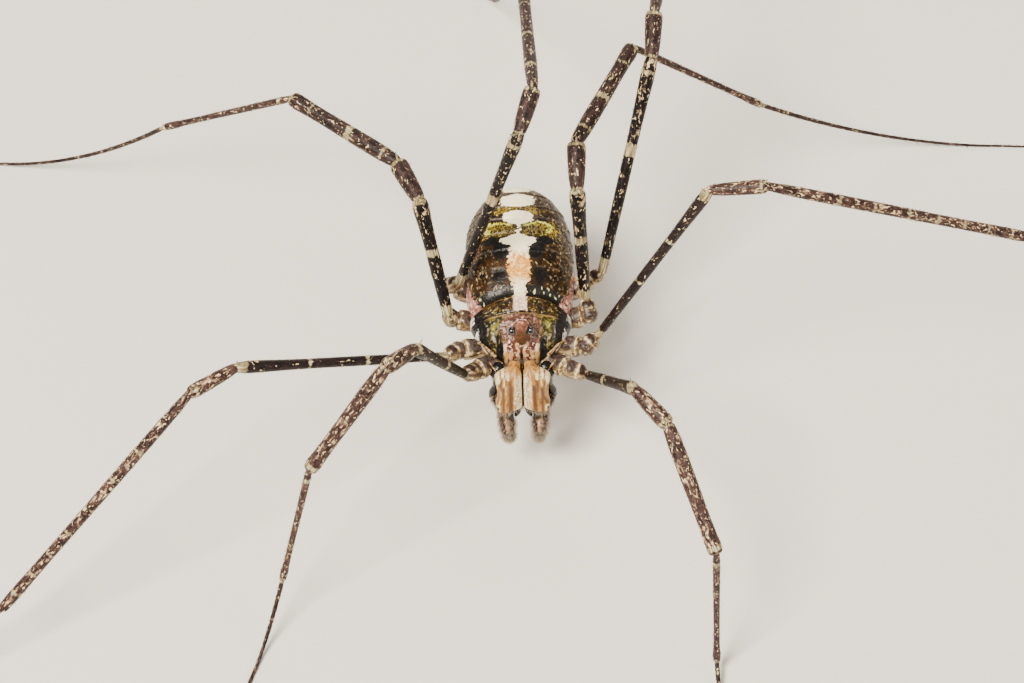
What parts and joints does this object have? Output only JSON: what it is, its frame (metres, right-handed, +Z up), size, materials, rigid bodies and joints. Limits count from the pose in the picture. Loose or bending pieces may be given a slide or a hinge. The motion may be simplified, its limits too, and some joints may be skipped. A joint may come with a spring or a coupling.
{
  "type": "harvestman",
  "caption": "Long-legged harvestman, standing: an oval two-part body on spread, jointed legs, with eyes on a mound, pincer jaws and short feelers.",
  "frame": {"origin": "middle of the span of the legs, on the floor that the feet stand on", "axes": "+Z up, the head faces -Y, the animal's left side is +X"},
  "size_m": [0.082, 0.057, 0.0157],
  "materials": {
    "back_cuticle": "satin",
    "shield_cuticle": "satin",
    "mound_cuticle": "satin",
    "eye": "gloss",
    "jaw_cuticle": "satin",
    "feeler_cuticle": "matte",
    "leg_cuticle": "satin"
  },
  "bodies": {
    "root": {"opisthosoma": "back_cuticle", "prosoma": "shield_cuticle", "eye_left": "eye", "eye_right": "eye", "eye_mound": "mound_cuticle", "chelicera_base_left": "jaw_cuticle", "chelicera_hand_left": "jaw_cuticle", "pedipalp_left": "feeler_cuticle", "chelicera_base_right": "jaw_cuticle", "chelicera_hand_right": "jaw_cuticle", "pedipalp_right": "feeler_cuticle", "leg_left_1_trochanter": "leg_cuticle", "leg_left_1_femur": "leg_cuticle", "leg_left_1_patella": "leg_cuticle", "leg_left_1_tibia": "leg_cuticle", "leg_left_1_metatarsus": "leg_cuticle", "leg_left_1_tarsus": "leg_cuticle", "leg_left_2_trochanter": "leg_cuticle", "leg_left_2_femur": "leg_cuticle", "leg_left_2_patella": "leg_cuticle", "leg_left_2_tibia": "leg_cuticle", "leg_left_2_metatarsus": "leg_cuticle", "leg_left_2_tarsus": "leg_cuticle", "leg_left_3_trochanter": "leg_cuticle", "leg_left_3_femur": "leg_cuticle", "leg_left_3_patella": "leg_cuticle", "leg_left_3_tibia": "leg_cuticle", "leg_left_3_metatarsus": "leg_cuticle", "leg_left_3_tarsus": "leg_cuticle", "leg_left_4_trochanter": "leg_cuticle", "leg_left_4_femur": "leg_cuticle", "leg_left_4_patella": "leg_cuticle", "leg_left_4_tibia": "leg_cuticle", "leg_left_4_metatarsus": "leg_cuticle", "leg_left_4_tarsus": "leg_cuticle", "leg_right_1_trochanter": "leg_cuticle", "leg_right_1_femur": "leg_cuticle", "leg_right_1_patella": "leg_cuticle", "leg_right_1_tibia": "leg_cuticle", "leg_right_1_metatarsus": "leg_cuticle", "leg_right_1_tarsus": "leg_cuticle", "leg_right_2_trochanter": "leg_cuticle", "leg_right_2_femur": "leg_cuticle", "leg_right_2_patella": "leg_cuticle", "leg_right_2_tibia": "leg_cuticle", "leg_right_2_metatarsus": "leg_cuticle", "leg_right_2_tarsus": "leg_cuticle", "leg_right_3_trochanter": "leg_cuticle", "leg_right_3_femur": "leg_cuticle", "leg_right_3_patella": "leg_cuticle", "leg_right_3_tibia": "leg_cuticle", "leg_right_3_metatarsus": "leg_cuticle", "leg_right_3_tarsus": "leg_cuticle", "leg_right_4_trochanter": "leg_cuticle", "leg_right_4_femur": "leg_cuticle", "leg_right_4_patella": "leg_cuticle", "leg_right_4_tibia": "leg_cuticle", "leg_right_4_metatarsus": "leg_cuticle", "leg_right_4_tarsus": "leg_cuticle"}
  },
  "joints": []
}
